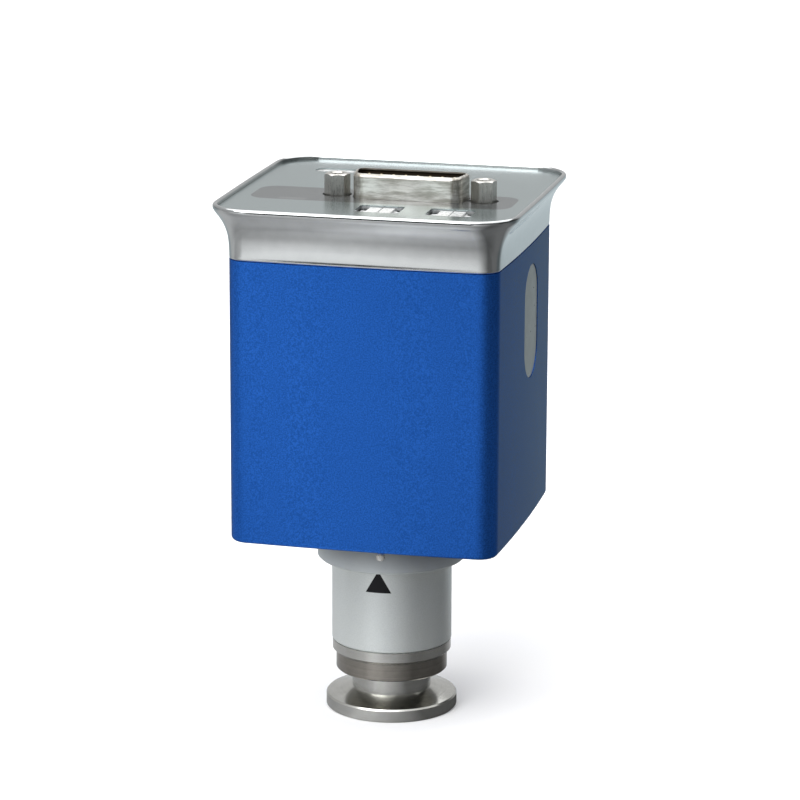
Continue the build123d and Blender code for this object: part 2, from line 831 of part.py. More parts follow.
def board(level, holes):
    """A circuit board with its four screw holes and a list of (places, radius) holes."""
    with BuildPart() as plate:
        with BuildSketch(Plane.XY.offset(level)):
            RectangleRounded(board_w, board_w, board_corner)
            with standoff_grid():
                Circle(stud_r + board_hole_clearance, mode=Mode.SUBTRACT)
            for places, hole_r in holes:
                with Locations(*places):
                    Circle(hole_r, mode=Mode.SUBTRACT)
        extrude(amount=board_t)
    return plate.part


save(board(z_power, [(lead_points, contact_tail_r + thread_clearance)]), "power_board")
save(board(z_control, []), "control_board")
save(board(z_io, [(connector_pins(), pin_r + thread_clearance)]), "io_board")


def standoffs(level, height, hole_depth):
    """Four hexagonal standoffs, tapped below and with a stud on top."""
    with BuildPart() as group:
        with BuildSketch(Plane.XY.offset(level)):
            with standoff_grid():
                RegularPolygon(standoff_flats / 2, hex_sides, major_radius=False)
        extrude(amount=height)
        with BuildSketch(Plane.XY.offset(level + height)):
            with standoff_grid():
                Circle(stud_r)
        extrude(amount=stud_length)
        with BuildSketch(Plane.XY.offset(level)):
            with standoff_grid():
                Circle(thread_hole_r)
        extrude(amount=hole_depth, mode=Mode.SUBTRACT)
    return group.part


stud_hole = stud_length - board_t + stud_hole_extra
floor_hole = floor_screw_length + stud_hole_extra
save(standoffs(z_floor, lower_standoff_h, floor_hole), "lower_standoffs")
save(standoffs(z_power + board_t, middle_standoff_h, stud_hole), "middle_standoffs")
save(standoffs(z_control_top, upper_standoff_h, stud_hole), "upper_standoffs")

# Nuts on the two upper studs that don't run into the bezel's bosses
with BuildPart() as stud_nuts:
    with BuildSketch(Plane.XY.offset(z_io_top)):
        with Locations(*nut_points):
            RegularPolygon(standoff_flats / 2, hex_sides, major_radius=False, rotation=30)
            Circle(thread_hole_r, mode=Mode.SUBTRACT)
    extrude(amount=stud_nut_t)
save(stud_nuts.part, "stud_nuts")

# Countersunk screws that hold the housing's floor to the standoffs
head_slope = tan(radians(floor_screw_angle / 2))
with BuildPart() as floor_screw:
    with BuildSketch(Plane.XZ):
        with BuildLine():
            Polyline(
                (0, z_body),
                (floor_screw_head_r, z_body),
                (stud_r, z_body + (floor_screw_head_r - stud_r) / head_slope),
                (stud_r, z_floor + floor_screw_length),
                (0, z_floor + floor_screw_length),
                close=True,
            )
        make_face()
    revolve(axis=Axis.Z)
    with BuildSketch(Plane.XY.offset(z_body)):
        RegularPolygon(drive_r, hex_sides)
    extrude(amount=drive_depth, mode=Mode.SUBTRACT)

with BuildPart() as floor_screws:
    with standoff_grid():
        add(floor_screw.part)
save(floor_screws.part, "floor_screws")

# Socket for the sensor's leads, clamped on the housing's floor
with BuildPart() as socket_body:
    with BuildSketch(Plane.XY.offset(z_socket)):
        Circle(socket_r)
    extrude(amount=z_floor - z_socket)
    with BuildSketch(Plane.XY.offset(z_floor)):
        Circle(socket_flange_r)
    extrude(amount=socket_flange_t)
    with BuildSketch(Plane.XY.offset(z_socket)):
        with Locations(*lead_points):
            Circle(contact_r + pin_clearance)
        with PolarLocations(collar_screw_circle, collar_screw_count, start_angle=collar_screw_angle):
            Circle(collar_screw_r + thread_clearance)
    extrude(amount=z_socket_flange - z_socket, mode=Mode.SUBTRACT)
save(socket_body.part, "socket_body")

with BuildPart() as socket_contact:
    with BuildSketch(Plane.XZ):
        with BuildLine():
            Polyline(
                (lead_r + thread_clearance, z_socket),
                (contact_r, z_socket),
                (contact_r, z_socket_flange),
                (contact_collar_r, z_socket_flange),
                (contact_collar_r, z_socket_flange + contact_collar_h),
                (contact_tail_r, z_socket_flange + contact_collar_h),
                (contact_tail_r, z_power + board_t + contact_tail_bare),
                (0, z_power + board_t + contact_tail_bare),
                (0, z_lead_top + contact_tail_bare),
                (lead_r + thread_clearance, z_lead_top + contact_tail_bare),
                close=True,
            )
        make_face()
    revolve(axis=Axis.Z)

with BuildPart() as socket_contacts:
    with Locations(*lead_points):
        add(socket_contact.part)
save(socket_contacts.part, "socket_contacts")

# Screws from inside, through the socket's flange and the floor into the collar
with BuildPart() as collar_screw_set:
    with BuildSketch(Plane.XY.offset(z_socket_flange)):
        with PolarLocations(collar_screw_circle, collar_screw_count, start_angle=collar_screw_angle):
            Circle(collar_screw_head_r)
    extrude(amount=collar_screw_head_h)
    with BuildSketch(Plane.XY.offset(z_body - collar_screw_depth)):
        with PolarLocations(collar_screw_circle, collar_screw_count, start_angle=collar_screw_angle):
            Circle(collar_screw_r)
    extrude(amount=z_socket_flange - z_body + collar_screw_depth)
    with BuildSketch(Plane.XY.offset(z_socket_flange + collar_screw_head_h)):
        with PolarLocations(collar_screw_circle, collar_screw_count, start_angle=collar_screw_angle):
            RegularPolygon(drive_r, hex_sides)
    extrude(amount=-drive_depth, mode=Mode.SUBTRACT)
save(collar_screw_set.part, "collar_screws")

# Transformer on the power board: a closed ferrite core round its winding
z_power_top = z_power + board_t
with BuildPart() as transformer_core:
    with BuildSketch(Plane.XZ.offset(-transformer_y - core_leg / 2)):
        with Locations((transformer_x, z_power_top + core_h / 2)):
            Rectangle(core_w, core_h)
            with GridLocations((core_w - core_leg) / 2, 0, 2, 1):
                Rectangle((core_w - 3 * core_leg) / 2, core_h - 2 * core_rail, mode=Mode.SUBTRACT)
    extrude(amount=core_leg)
save(transformer_core.part, "transformer_core")

with BuildPart() as transformer_winding:
    winding_h = core_h - 2 * core_rail - 2 * winding_clearance
    with BuildSketch(Plane((transformer_x, transformer_y, z_power_top + core_rail + winding_clearance))):
        RectangleRounded(core_leg + 2 * winding_t, core_leg + 2 * winding_t, winding_t / 2)
        Rectangle(core_leg + 2 * winding_clearance, core_leg + 2 * winding_clearance, mode=Mode.SUBTRACT)
    extrude(amount=winding_h)
save(transformer_winding.part, "transformer_winding")

# Smoothing capacitors in a row
with BuildPart() as capacitors:
    with BuildSketch(Plane((capacitor_x, capacitor_y, z_power_top))):
        with GridLocations(0, capacitor_pitch, 1, 2):
            Circle(capacitor_r)
    extrude(amount=capacitor_h)
save(capacitors.part, "capacitors")

# Chips on the control board
with BuildPart() as control_chips:
    with BuildSketch(Plane.XY.offset(z_control_top)):
        with GridLocations(2 * chip_w, 0, 2, 1):
            Rectangle(chip_w, chip_w)
    extrude(amount=chip_h)
save(control_chips.part, "control_chips")


def board_link(level, height, y):
    """A pin strip and its socket, which join two boards."""
    strip = link_pin_count * link_pitch
    with BuildPart() as link:
        with BuildSketch(Plane((0, y, level))):
            Rectangle(strip, link_pitch)
        extrude(amount=link_base_h)
        with BuildSketch(Plane((0, y, level))):
            with GridLocations(link_pitch, 0, link_pin_count, 1):
                Rectangle(link_pin_w, link_pin_w)
        extrude(amount=height - link_top_h)
        with BuildSketch(Plane((0, y, level + height))):
            Rectangle(strip, link_pitch)
        extrude(amount=-link_top_h)
    return link.part


save(board_link(z_power_top, middle_standoff_h, -link_reach), "lower_board_link")
save(board_link(z_control_top, upper_standoff_h, link_reach), "upper_board_link")
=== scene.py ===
import math

import bmesh
import bpy
from mathutils import Matrix, Vector

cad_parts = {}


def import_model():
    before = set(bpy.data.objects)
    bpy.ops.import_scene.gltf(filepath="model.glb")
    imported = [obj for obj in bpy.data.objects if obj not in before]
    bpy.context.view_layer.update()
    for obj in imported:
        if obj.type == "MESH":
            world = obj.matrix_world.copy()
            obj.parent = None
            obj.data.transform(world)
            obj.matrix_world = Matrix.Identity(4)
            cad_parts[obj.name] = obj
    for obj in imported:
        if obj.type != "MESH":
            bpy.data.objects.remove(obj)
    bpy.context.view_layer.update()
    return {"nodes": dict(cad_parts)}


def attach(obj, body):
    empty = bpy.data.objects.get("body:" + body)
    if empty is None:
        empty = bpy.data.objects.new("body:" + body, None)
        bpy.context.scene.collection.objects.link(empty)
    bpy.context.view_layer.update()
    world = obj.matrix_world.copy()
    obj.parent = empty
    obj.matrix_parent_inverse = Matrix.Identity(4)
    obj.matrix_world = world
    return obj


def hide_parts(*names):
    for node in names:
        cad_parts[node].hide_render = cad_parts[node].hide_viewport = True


# Looks of the hot cathode ionization gauge. Sizes and places on it are in
# millimetres in the frame of the CAD, and MM turns them into metres. The floor's
# sheets and the lamps are given in metres.
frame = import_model()
nodes = frame["nodes"]
MM = 0.001

# The D-shaped connector's centre
DSUB_X, DSUB_Y = 5.5, -6.5


# Materials

def socket(bsdf, **values):
    """Sets sockets of a shader by name, with spaces written as underscores."""
    for key, value in values.items():
        bsdf.inputs[key.replace("_", " ")].default_value = value


class Paint:
    """A material and the few kinds of nodes that the finishes here are made of."""

    def __init__(self, name, **values):
        self.mat = bpy.data.materials.new(name)
        self.mat.use_nodes = True
        self.tree = self.mat.node_tree
        self.bsdf = self.tree.nodes["Principled BSDF"]
        socket(self.bsdf, **values)
        coords = self.tree.nodes.new("ShaderNodeTexCoord")
        self.place = coords.outputs["Object"]

    def link(self, a, b):
        self.tree.links.new(a, b)

    def fill(self, node, values):
        """Sets or links the node's first inputs."""
        for i, value in enumerate(values):
            if isinstance(value, (int, float)):
                node.inputs[i].default_value = value
            else:
                self.link(value, node.inputs[i])
        return node.outputs[0]

    def math(self, op, *values):
        node = self.tree.nodes.new("ShaderNodeMath")
        node.operation = op
        return self.fill(node, values)

    def times(self, a, b):
        return self.math("MULTIPLY", a, b)

    def plus(self, a, b):
        return self.math("ADD", a, b)

    def minus(self, a, b):
        return self.math("SUBTRACT", a, b)

    def off(self, value, middle):
        """The distance from the middle."""
        return self.math("ABSOLUTE", self.minus(value, middle))

    def length(self, a, b):
        return self.math("SQRT", self.plus(self.times(a, a), self.times(b, b)))

    def bearing(self, x, y):
        """The angle from the front towards the right, in radians."""
        return self.math("ARCTAN2", x, self.times(y, -1.0))

    def past_corner(self, x, half_x, y, half_y):
        """How far a place lies past the straight part of a rounded rectangle."""
        dx = self.math("MAXIMUM", self.minus(x, half_x), 0.0)
        dy = self.math("MAXIMUM", self.minus(y, half_y), 0.0)
        return self.length(dx, dy)

    def axes(self):
        """The three object coordinates in millimetres."""
        split = self.tree.nodes.new("ShaderNodeSeparateXYZ")
        self.link(self.place, split.inputs[0])
        return [self.times(o, 1 / MM) for o in split.outputs]

    def join(self, x, y, z):
        return self.fill(self.tree.nodes.new("ShaderNodeCombineXYZ"), (x, y, z))

    def stretched(self, x, y, z):
        """Object coordinates in millimetres times a factor on each axis."""
        node = self.tree.nodes.new("ShaderNodeMapping")
        node.inputs["Scale"].default_value = (x / MM, y / MM, z / MM)
        self.link(self.place, node.inputs["Vector"])
        return node.outputs[0]

    def noise(self, vector, scale=1.0, detail=3.0, rough=0.55):
        node = self.tree.nodes.new("ShaderNodeTexNoise")
        node.inputs["Scale"].default_value = scale
        node.inputs["Detail"].default_value = detail
        node.inputs["Roughness"].default_value = rough
        self.link(vector, node.inputs["Vector"])
        return node.outputs["Fac"]

    def span(self, value, low, high, to_low=0.0, to_high=1.0):
        """The value's place between low and high, as a ramp without overshoot."""
        node = self.tree.nodes.new("ShaderNodeMapRange")
        ends = {"From Min": low, "From Max": high, "To Min": to_low, "To Max": to_high}
        for key, end in ends.items():
            node.inputs[key].default_value = end
        self.link(value, node.inputs["Value"])
        return node.outputs[0]

    def fall(self, value, low, high):
        return self.span(value, low, high, 1.0, 0.0)

    def mix(self, factor, a, b):
        node = self.tree.nodes.new("ShaderNodeMix")
        node.data_type = "RGBA"
        for key, value in ((6, a), (7, b)):
            if isinstance(value, tuple):
                node.inputs[key].default_value = (*value, 1)
            else:
                self.link(value, node.inputs[key])
        self.link(factor, node.inputs[0])
        return node.outputs[2]

    def colour(self, output):
        self.link(output, self.bsdf.inputs["Base Color"])

    def rough(self, output):
        self.link(output, self.bsdf.inputs["Roughness"])

    def bump(self, height, strength, distance):
        node = self.tree.nodes.new("ShaderNodeBump")
        node.inputs["Strength"].default_value = strength
        node.inputs["Distance"].default_value = distance * MM
        self.link(height, node.inputs["Height"])
        self.link(node.outputs[0], self.bsdf.inputs["Normal"])


def grained(name, dark, light, rough, stretch, height, scale=1.0, distance=0.02, **values):
    """A finish with colour, roughness and relief from one grain."""
    p = Paint(name, **values)
    grain = p.noise(p.stretched(*stretch), scale)
    p.colour(p.mix(p.span(grain, 0.3, 0.7), dark, light))
    p.rough(p.span(grain, 0.3, 0.7, *rough))
    p.bump(grain, height, distance)
    return p


def blue_paint():
    """Anodised blue, with a fine sparkle and broad, faint clouds."""
    p = Paint("blue_anodised", Metallic=0.95)
    p.bsdf.inputs["Specular Tint"].default_value = (0.64, 0.58, 0.27, 1)
    fine = p.noise(p.stretched(1, 1, 1), 3.2, 2.0, 0.6)
    broad = p.noise(p.stretched(1, 1, 1), 0.05, 2.0)
    dark, light, cloud = (0.016, 0.110, 0.478), (0.033, 0.185, 0.735), (0.017, 0.116, 0.505)
    base = p.mix(p.span(fine, 0.36, 0.64), dark, light)
    p.colour(p.mix(p.span(broad, 0.3, 0.7, 0.0, 0.25), base, cloud))
    p.rough(p.span(fine, 0.3, 0.7, 0.34, 0.43))
    p.bump(fine, 0.4, 0.05)
    return p.mat


def bezel_paint():
    p = Paint("bright_bezel", Metallic=1.0)
    haze = p.noise(p.stretched(1, 1, 1), 0.35, 3.0)
    wipe = p.noise(p.stretched(0.5, 0.5, 6), 1.0, 3.0)
    p.colour(p.mix(p.span(haze, 0.3, 0.7), (0.52, 0.54, 0.545), (0.57, 0.59, 0.595)))
    p.rough(p.span(haze, 0.3, 0.7, 0.07, 0.11))
    p.bump(wipe, 0.03, 0.01)
    return p.mat


# Printed areas on the panel's film: middle, size and corner radius, and how far
# their edges blur
BAND = (-0.05, -7.9, 59.1, 14.8, 4.0)
TAB = (-19.5, -13.65, 6.2, 2.1, 0.5)
PRINT_BLUR = 0.06


def overlay_paint():
    """Glossy film with a printed darker band and a small tab on it."""
    p = Paint("overlay", Metallic=0.85, IOR=1.5)
    x, y, _ = p.axes()
    haze = p.noise(p.stretched(1, 1, 1), 0.12, 2.0)

    def printed(cx, cy, width, depth, corner):
        half_x, half_y = width / 2 - corner, depth / 2 - corner
        past = p.past_corner(p.off(x, cx), half_x, p.off(y, cy), half_y)
        return p.fall(past, corner - PRINT_BLUR, corner + PRINT_BLUR)

    base = p.mix(p.span(haze, 0.3, 0.7), (0.315, 0.375, 0.38), (0.33, 0.39, 0.395))
    banded = p.mix(printed(*BAND), base, (0.17, 0.185, 0.19))
    p.colour(p.mix(printed(*TAB), banded, (0.23, 0.245, 0.25)))
    p.rough(p.span(haze, 0.3, 0.7, 0.2, 0.24))
    return p.mat


SLEEVE_R = 13.73
# The index triangle on the sleeve: its foot and tip, and half its width at each
MARK_LOW, MARK_HIGH = 30.4, 34.9
MARK_WIDE, MARK_NARROW = 3.0, 0.4
MARK_SIDE = 0.2
MARK_BLUR = 0.04


def sleeve_paint():
    """Matt silver with the black index triangle that points up the axis."""
    p = Paint("sleeve_silver", Metallic=0.6, Roughness=0.4, IOR=1.45)
    x, y, z = p.axes()
    fine = p.noise(p.stretched(1, 1, 1), 4.0, 2.0)
    around = p.times(p.bearing(x, y), SLEEVE_R)
    reach = p.span(z, MARK_LOW, MARK_HIGH, MARK_WIDE, MARK_NARROW)
    side = p.minus(reach, p.off(around, MARK_SIDE))
    low = p.span(z, MARK_LOW - MARK_BLUR, MARK_LOW + MARK_BLUR)
    edge = p.times(p.span(side, -MARK_BLUR, MARK_BLUR), low)
    mark = p.times(edge, p.fall(z, MARK_HIGH - MARK_BLUR, MARK_HIGH + MARK_BLUR))
    base = p.mix(p.span(fine, 0.3, 0.7), (0.72, 0.76, 0.75), (0.79, 0.83, 0.82))
    p.colour(p.mix(mark, base, (0.012, 0.012, 0.014)))
    p.rough(p.span(fine, 0.3, 0.7, 0.33, 0.42))
    p.bump(fine, 0.15, 0.02)
    return p.mat


def turned_paint(name, dark, light, rough, lines, height, lower_ring_shade=None, shade=None, **values):
    """Lathe-turned metal: fine rings across the axis, and a little haze."""
    p = Paint(name, **values)
    x, y, z = p.axes()
    rings = p.noise(p.join(p.length(x, y), 0.0, z), lines, 2.0, 0.7)
    haze = p.noise(p.stretched(1, 1, 1), 0.5, 3.0)
    hazy = p.times(p.span(haze, 0.3, 0.7), 0.4)
    ringed = p.times(p.span(rings, 0.3, 0.7), 0.6)
    tone = p.plus(hazy, ringed)
    base = p.mix(tone, dark, light)
    if lower_ring_shade:
        # Painted shade on the lower ring: darker and browner
        band = p.times(p.span(z, 8.6, 9.3), p.fall(z, 12.9, 13.2))
        shaded_brown = p.mix(tone, tuple(0.72 * c for c in lower_ring_shade), tuple(1.2 * c for c in lower_ring_shade))
        base = p.mix(p.times(band, 0.9), base, shaded_brown)
    if shade:
        # Painted shade: darker towards the top, where it runs up under the housing
        base = p.mix(p.span(z, *shade), base, tuple(0.35 * c for c in dark))
    p.colour(base)
    p.rough(p.span(rings, 0.25, 0.75, *rough))
    p.bump(rings, height, 0.02)
    return p.mat


# The inside of the D-shaped shell: half its length and width, its corner radius,
# the lean of its side walls, the place from which they lean, and its edges' blur
SHELL_X, SHELL_Y, SHELL_CORNER = 13.25, 4.0, 2.4
SHELL_LEAN, SHELL_LEAN_Y = 0.176, -2.3
SHELL_BLUR = 0.04


def shell_paint():
    """Drawn tin plate: bright and handled outside, with painted shade inside the shell."""
    p = Paint("tin_plate", Metallic=1.0)
    x, y, z = p.axes()
    smear = p.noise(p.stretched(0.22, 0.22, 1.2), 1.0, 3.0, 0.6)
    scratch = p.noise(p.stretched(0.5, 0.5, 14), 1.0, 2.0, 0.6)
    base = p.mix(p.span(smear, 0.36, 0.62), (0.42, 0.405, 0.365), (0.80, 0.785, 0.745))
    base = p.mix(p.times(p.span(scratch, 0.56, 0.72), 0.4), base, (0.45, 0.43, 0.38))
    # Painted shade where it is inside the shell, whose side walls lean in towards the front
    lean = p.times(p.minus(y, SHELL_LEAN_Y), SHELL_LEAN)
    off_x = p.minus(p.off(x, DSUB_X), lean)
    off_y = p.off(y, DSUB_Y)
    corner = p.past_corner(off_x, SHELL_X - SHELL_CORNER, off_y, SHELL_Y - SHELL_CORNER)
    inside = p.fall(corner, SHELL_CORNER - SHELL_BLUR, SHELL_CORNER + SHELL_BLUR)
    inside_shade = p.times(inside, p.fall(z, 125.3, 125.5))
    # Painted shade, broken up by noise, where the drawn corners turn
    turn = p.times(p.span(off_x, 10.9, 11.9), p.fall(off_x, 13.0, 13.5))
    corner_shade = p.times(turn, p.span(p.noise(p.stretched(1.2, 1.2, 0.35), 1.0, 3.0), 0.38, 0.6))
    base = p.mix(p.times(corner_shade, 0.75), base, (0.24, 0.22, 0.18))
    # Painted shade inside the shell
    p.colour(p.mix(inside_shade, base, (0.045, 0.036, 0.026)))
    p.rough(p.plus(p.span(smear, 0.3, 0.7, 0.40, 0.30), p.times(inside_shade, 0.3)))
    p.bump(smear, 0.12, 0.06)
    return p.mat


METAL = {"Metallic": 1.0}
CLEAR = {"IOR": 1.5}

# Dark and light colour, roughness, grain for each millimetre on each axis, relief
GRAINED = {
    "panel_steel": (
        (0.50, 0.51, 0.52), (0.60, 0.61, 0.62), (0.25, 0.4), (0.3, 8, 8), 0.1, METAL),
    "nickel": (
        (0.55, 0.54, 0.51), (0.68, 0.67, 0.64), (0.24, 0.36), (5, 5, 0.3), 0.06, METAL),
    "gold_contact": (
        (0.50, 0.40, 0.24), (0.66, 0.55, 0.36), (0.25, 0.36), (2, 2, 2), 0.05, METAL),
    "zinc": (
        (0.52, 0.53, 0.52), (0.66, 0.67, 0.66), (0.3, 0.42), (2, 2, 0.5), 0.1, METAL),
    "electrode": (
        (0.40, 0.40, 0.40), (0.56, 0.56, 0.55), (0.25, 0.4), (6, 6, 1), 0.1, METAL),
    "insulator": (
        (0.018, 0.018, 0.018), (0.030, 0.028, 0.026), (0.4, 0.55), (2, 2, 2), 0.1, {}),
    "light_block": (
        (0.50, 0.51, 0.51), (0.58, 0.59, 0.59), (0.22, 0.32), (1, 1, 1), 0.05, {}),
    "diffuser": (
        (0.155, 0.175, 0.165), (0.165, 0.185, 0.175), (0.27, 0.33), (0.3, 0.3, 0.3), 0.0, {}),
    "board": (
        (0.010, 0.085, 0.035), (0.014, 0.11, 0.045), (0.28, 0.42), (1.5, 1.5, 1.5), 0.08, {}),
    "component": (
        (0.014, 0.014, 0.015), (0.026, 0.026, 0.027), (0.45, 0.6), (3, 3, 3), 0.15, {}),
    "ferrite": (
        (0.035, 0.035, 0.036), (0.065, 0.065, 0.064), (0.55, 0.75), (3, 3, 3), 0.25, {}),
    "winding": (
        (0.55, 0.38, 0.08), (0.68, 0.49, 0.12), (0.35, 0.5), (0.5, 0.5, 6), 0.2, {}),
    "can_sleeve": (
        (0.012, 0.014, 0.03), (0.02, 0.024, 0.045), (0.25, 0.38), (0.5, 0.5, 3), 0.05, {}),
    "socket_plastic": (
        (0.60, 0.55, 0.45), (0.68, 0.63, 0.53), (0.4, 0.55), (2, 2, 2), 0.1, {}),
    "glass": (
        (0.10, 0.17, 0.15), (0.14, 0.22, 0.20), (0.08, 0.14), (2, 2, 2), 0.03, CLEAR),
}

PAINTS = {
    "blue_anodised": blue_paint(),
    "bright_bezel": bezel_paint(),
    "overlay": overlay_paint(),
    "sleeve_silver": sleeve_paint(),
    "tin_plate": shell_paint(),
    # Stainless with painted shade on its lower ring
    "stainless": turned_paint(
        "stainless", (0.49, 0.49, 0.465), (0.63, 0.63, 0.60), (0.15, 0.24), 5.0, 0.12,
        lower_ring_shade=(0.27, 0.25, 0.22), Metallic=1.0),
    # Satin aluminium with painted shade towards the top of the collar
    "satin_aluminium": turned_paint(
        "satin_aluminium", (0.63, 0.67, 0.665), (0.70, 0.74, 0.735), (0.4, 0.5), 5.0, 0.03,
        shade=(36.5, 42.0), Metallic=0.5),
}
for name, (*finish, values) in GRAINED.items():
    PAINTS[name] = grained(name, *finish, **values).mat

for obj in nodes.values():
    slot = obj.material_slots[0]
    slot.material = PAINTS[slot.material.name]


# Meshes

def join_faces(bm, loops, closed=True):
    """Quads between loops of the same number of points, in order."""
    rows = [[bm.verts.new(p) for p in loop] for loop in loops]
    pairs = list(zip(rows, rows[1:]))
    if closed:
        pairs.append((rows[-1], rows[0]))
    for a, b in pairs:
        for i in range(len(a)):
            j = (i + 1) % len(a)
            bm.faces.new((a[i], a[j], b[j], b[i]))
    if not closed:
        bm.faces.new(rows[0][::-1])
        bm.faces.new(rows[-1])


def add_piece(name, bm, slot, node, sharp=30.0):
    """Turns the mesh into a piece, in metres, that stands for the node."""
    bmesh.ops.recalc_face_normals(bm, faces=bm.faces)
    bmesh.ops.scale(bm, vec=(MM, MM, MM), verts=bm.verts)
    mesh = bpy.data.meshes.new(name)
    bm.to_mesh(mesh)
    bm.free()
    for face in mesh.polygons:
        face.use_smooth = True
    mesh.set_sharp_from_angle(angle=math.radians(sharp))
    obj = bpy.data.objects.new(name, mesh)
    bpy.context.scene.collection.objects.link(obj)
    mesh.materials.append(PAINTS[slot])
    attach(obj, "root")
    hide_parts(node)


def bowed_loop(width, bow, corner, z, side=28, turn=14):
    """The outline of a square with bowed sides and round corners, at one height."""
    radius = (width**2 / 4 + bow**2) / (2 * bow)
    middle = width / 2 + bow - radius
    place = (middle + math.sqrt(2 * (radius - corner) ** 2 - middle**2)) / 2
    spread = math.atan2(place, place - middle)
    quarter = []
    for i in range(side):
        a = -spread + 2 * spread * i / side
        quarter.append((middle + radius * math.cos(a), radius * math.sin(a)))
    for i in range(turn):
        a = spread + (math.pi / 2 - 2 * spread) * i / turn
        quarter.append((place + corner * math.cos(a), place + corner * math.sin(a)))
    points = []
    for c, s in ((1, 0), (0, 1), (-1, 0), (0, -1)):
        points += [(c * x - s * y, s * x + c * y, z) for x, y in quarter]
    return points


def box(bm, x0, x1, y0, y1, z0, z1):
    corners = ((x0, y0), (x1, y0), (x1, y1), (x0, y1))
    join_faces(bm, [[(x, y, z) for x, y in corners] for z in (z0, z1)], closed=False)


# The bezel's outlines: width, bow and corner radius
BODY = (60.36, 0.75, 4.3)
RIM = (68.24, 0.3, 9.5)
SEAT = (66.04, 0.3, 8.4)
INSIDE = (54.46, 0.75, 2.8)
SKIRT = (57.06, 0.75, 2.8)

# Its heights
Z_BEZEL = 108.74
Z_SKIRT = Z_BEZEL - 3.0
Z_FLARE = Z_BEZEL + 0.9
Z_LEDGE = 119.04
Z_LIP = Z_BEZEL + 11.43
Z_RIM = 120.99

# The radii of its foot and of the rim's outer and inner edges
FOOT_R, LIP_R, INNER_R = 0.5, 0.6, 0.45

# Slope in degrees up the flare, from the foot to the lip
SLOPES = (
    (0.0, 1.0), (0.2, 3.0), (0.35, 7.0), (0.5, 15.0), (0.65, 25.0),
    (0.8, 34.0), (0.9, 37.0), (0.965, 25.0), (1.0, 0.0),
)
FLARE_STEPS = 48
# The angles of a quarter of a turn, for the rounded edges
ARC = [math.radians(90 * i / 8) for i in range(9)]

# The bosses inside two of its corners: how far in and out, and their underside
BOSS_IN, BOSS_OUT, Z_BOSS = 20.78, 28.0, 112.04


def flare_shares():
    """How far the flare has gone out, as a share, at each step of its height."""
    total, outs = 0.0, [0.0]
    for i in range(FLARE_STEPS):
        t = (i + 0.5) / FLARE_STEPS
        for (t0, s0), (t1, s1) in zip(SLOPES, SLOPES[1:]):
            if t0 <= t <= t1:
                total += math.tan(math.radians(s0 + (s1 - s0) * (t - t0) / (t1 - t0)))
        outs.append(total)
    return [out / total for out in outs]


def bezel():
    """The flared frame: a round foot, a hollow flare and a rolled rim."""
    loops = []

    def at(share, shrink, z):
        """A loop between the body's outline and the rim's, drawn in by shrink."""
        w, b, c = (p + share * (q - p) for p, q in zip(BODY, RIM))
        loops.append(bowed_loop(w - 2 * shrink, b, max(c - shrink, 1.0), z))

    for a in ARC:
        at(0, FOOT_R * (1 - math.sin(a)), Z_BEZEL + FOOT_R * (1 - math.cos(a)))
    # Rings that hold the band above the foot upright
    for rise in (0.52, 0.65, 0.85):
        at(0, 0, Z_BEZEL + rise)
    for i, share in enumerate(flare_shares()):
        at(share, 0, Z_FLARE + (Z_LIP - Z_FLARE) * i / FLARE_STEPS)
    at(1, 0, Z_LIP + 0.03)
    for a in ARC:
        at(1, LIP_R * (1 - math.cos(a)), Z_RIM - LIP_R * (1 - math.sin(a)))
    width, bow, corner = SEAT
    for a in ARC:
        out, down = INNER_R * (1 - math.sin(a)), INNER_R * (1 - math.cos(a))
        loops.append(bowed_loop(width + 2 * out, bow, corner + out, Z_RIM - down))
    inner = (
        (SEAT, Z_LEDGE), (INSIDE, Z_LEDGE), (INSIDE, Z_SKIRT),
        (SKIRT, Z_SKIRT), (SKIRT, Z_BEZEL))
    for outline, z in inner:
        loops.append(bowed_loop(*outline, z))
    bm = bmesh.new()
    join_faces(bm, loops)
    for s in (-1, 1):
        ends = sorted((s * BOSS_IN, s * BOSS_OUT))
        box(bm, *ends, *ends, Z_BOSS, Z_LEDGE)
    add_piece("bezel_frame", bm, "bright_bezel", "top_bezel", 40)


def hexagon(x, y, to_flat, z, turn, count=48):
    """Points on a hexagon's outline, so that it can join a circle's."""
    points = []
    for i in range(count):
        a = 2 * math.pi * i / count
        reach = to_flat / math.cos((a + math.pi / 6) % (math.pi / 3) - math.pi / 6)
        points.append((x + reach * math.cos(a + turn), y + reach * math.sin(a + turn), z))
    return points


def circle(x, y, radius, z, turn=0.0, count=48):
    angles = [2 * math.pi * i / count + turn for i in range(count)]
    return [(x + radius * math.cos(a), y + radius * math.sin(a), z) for a in angles]


# The screw locks: from the axis to a flat, the turned top's chamfer, and the drop
# of its edge for each millimetre of chamfer and for each one past the flats
JACK_FLAT, JACK_CHAMFER = 2.5, 0.22
CHAMFER_DROP, CORNER_DROP = 0.55, 0.5
JACK_TOP, JACK_TAIL = 124.89, 114.04
# Their shanks with the tips, and their tapped holes from the mouth to the bottom
SHANK_R, SHANK_TIP_R, SHANK_TIP = 1.42, 1.2, 0.25
MOUTH_R, MOUTH_DEPTH = 1.62, 0.32
THREAD_IN, THREAD_OUT, THREAD_PITCH, THREAD_DEPTH = 1.35, 1.5, 0.5, 3.4
DRILL_R, DRILL_DEPTH = 1.1, 4.0


